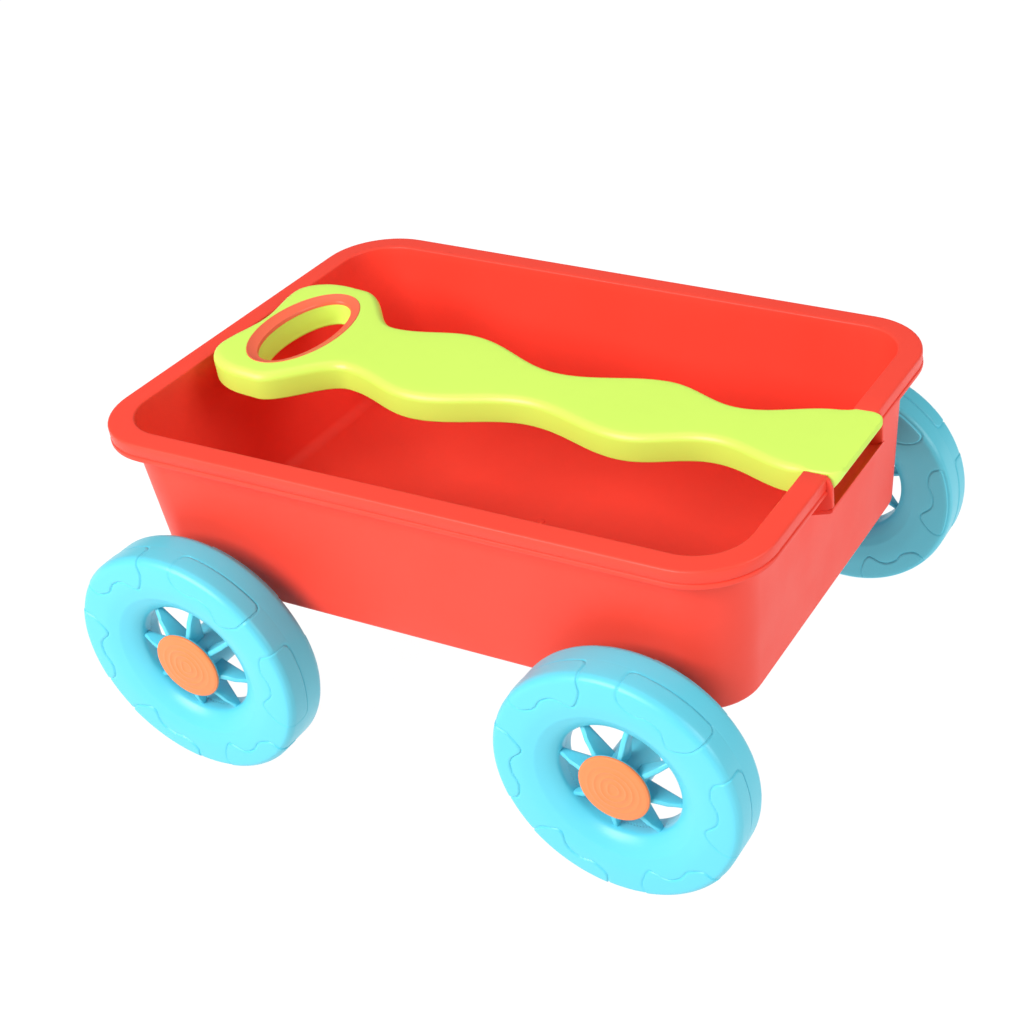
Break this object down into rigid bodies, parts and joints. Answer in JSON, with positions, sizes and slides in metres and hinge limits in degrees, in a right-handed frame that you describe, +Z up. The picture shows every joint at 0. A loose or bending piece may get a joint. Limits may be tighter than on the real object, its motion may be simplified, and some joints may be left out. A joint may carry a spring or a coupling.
{
  "type": "kids pull wagon",
  "caption": "Low moulded toddler's wagon: a drafted tub with a flanged rim on spoked wheels, and a wavy pull handle with an oval hand hole that folds back over the tub.",
  "frame": {"origin": "on the floor, midway between the axles and midway between the left and right wheels", "axes": "+X towards the pulling end, +Y to the left, +Z up"},
  "size_m": [0.3526, 0.2882, 0.1714],
  "materials": {
    "red_plastic": "satin moulded polypropylene",
    "lime_plastic": "satin moulded polypropylene",
    "orange_plastic": "satin moulded polypropylene",
    "cyan_plastic": "soft satin moulded polypropylene",
    "steel": "bright zinc"
  },
  "bodies": {
    "wagon_base": {"tub": "red_plastic", "hinge_pin": "steel", "hinge_pin_retainers": "steel", "front_axle": "steel", "rear_axle": "steel", "front_axle_carrier": "red_plastic", "rear_axle_carrier": "red_plastic", "front_carrier_screws": "steel", "rear_carrier_screws": "steel", "front_axle_spacers": "cyan_plastic", "rear_axle_spacers": "cyan_plastic", "front_push_nuts": "steel", "rear_push_nuts": "steel"},
    "pull_handle": {"handle_body": "lime_plastic", "grip_ring": "orange_plastic"},
    "wheel_front_right": {"wheel_front_right_outer": "cyan_plastic", "wheel_front_right_inner": "cyan_plastic", "hub_cap_front_right": "orange_plastic"},
    "wheel_front_left": {"wheel_front_left_outer": "cyan_plastic", "wheel_front_left_inner": "cyan_plastic", "hub_cap_front_left": "orange_plastic"},
    "wheel_rear_right": {"wheel_rear_right_outer": "cyan_plastic", "wheel_rear_right_inner": "cyan_plastic", "hub_cap_rear_right": "orange_plastic"},
    "wheel_rear_left": {"wheel_rear_left_outer": "cyan_plastic", "wheel_rear_left_inner": "cyan_plastic", "hub_cap_rear_left": "orange_plastic"}
  },
  "joints": [
    {"name": "handle_hinge", "type": "hinge", "parent": "wagon_base", "child": "pull_handle", "pos_m": [0.1658, 0, 0.15807], "axis": [0, 1, 0], "range_deg": [0, 180]},
    {"name": "wheel_front_right_spin", "type": "hinge", "parent": "wagon_base", "child": "wheel_front_right", "pos_m": [0.1155, -0.1308, 0.0605], "axis": [0, 1, 0], "continuous": true},
    {"name": "wheel_front_left_spin", "type": "hinge", "parent": "wagon_base", "child": "wheel_front_left", "pos_m": [0.1155, 0.1308, 0.0605], "axis": [0, 1, 0], "continuous": true},
    {"name": "wheel_rear_right_spin", "type": "hinge", "parent": "wagon_base", "child": "wheel_rear_right", "pos_m": [-0.1155, -0.1308, 0.0605], "axis": [0, 1, 0], "continuous": true},
    {"name": "wheel_rear_left_spin", "type": "hinge", "parent": "wagon_base", "child": "wheel_rear_left", "pos_m": [-0.1155, 0.1308, 0.0605], "axis": [0, 1, 0], "continuous": true}
  ]
}
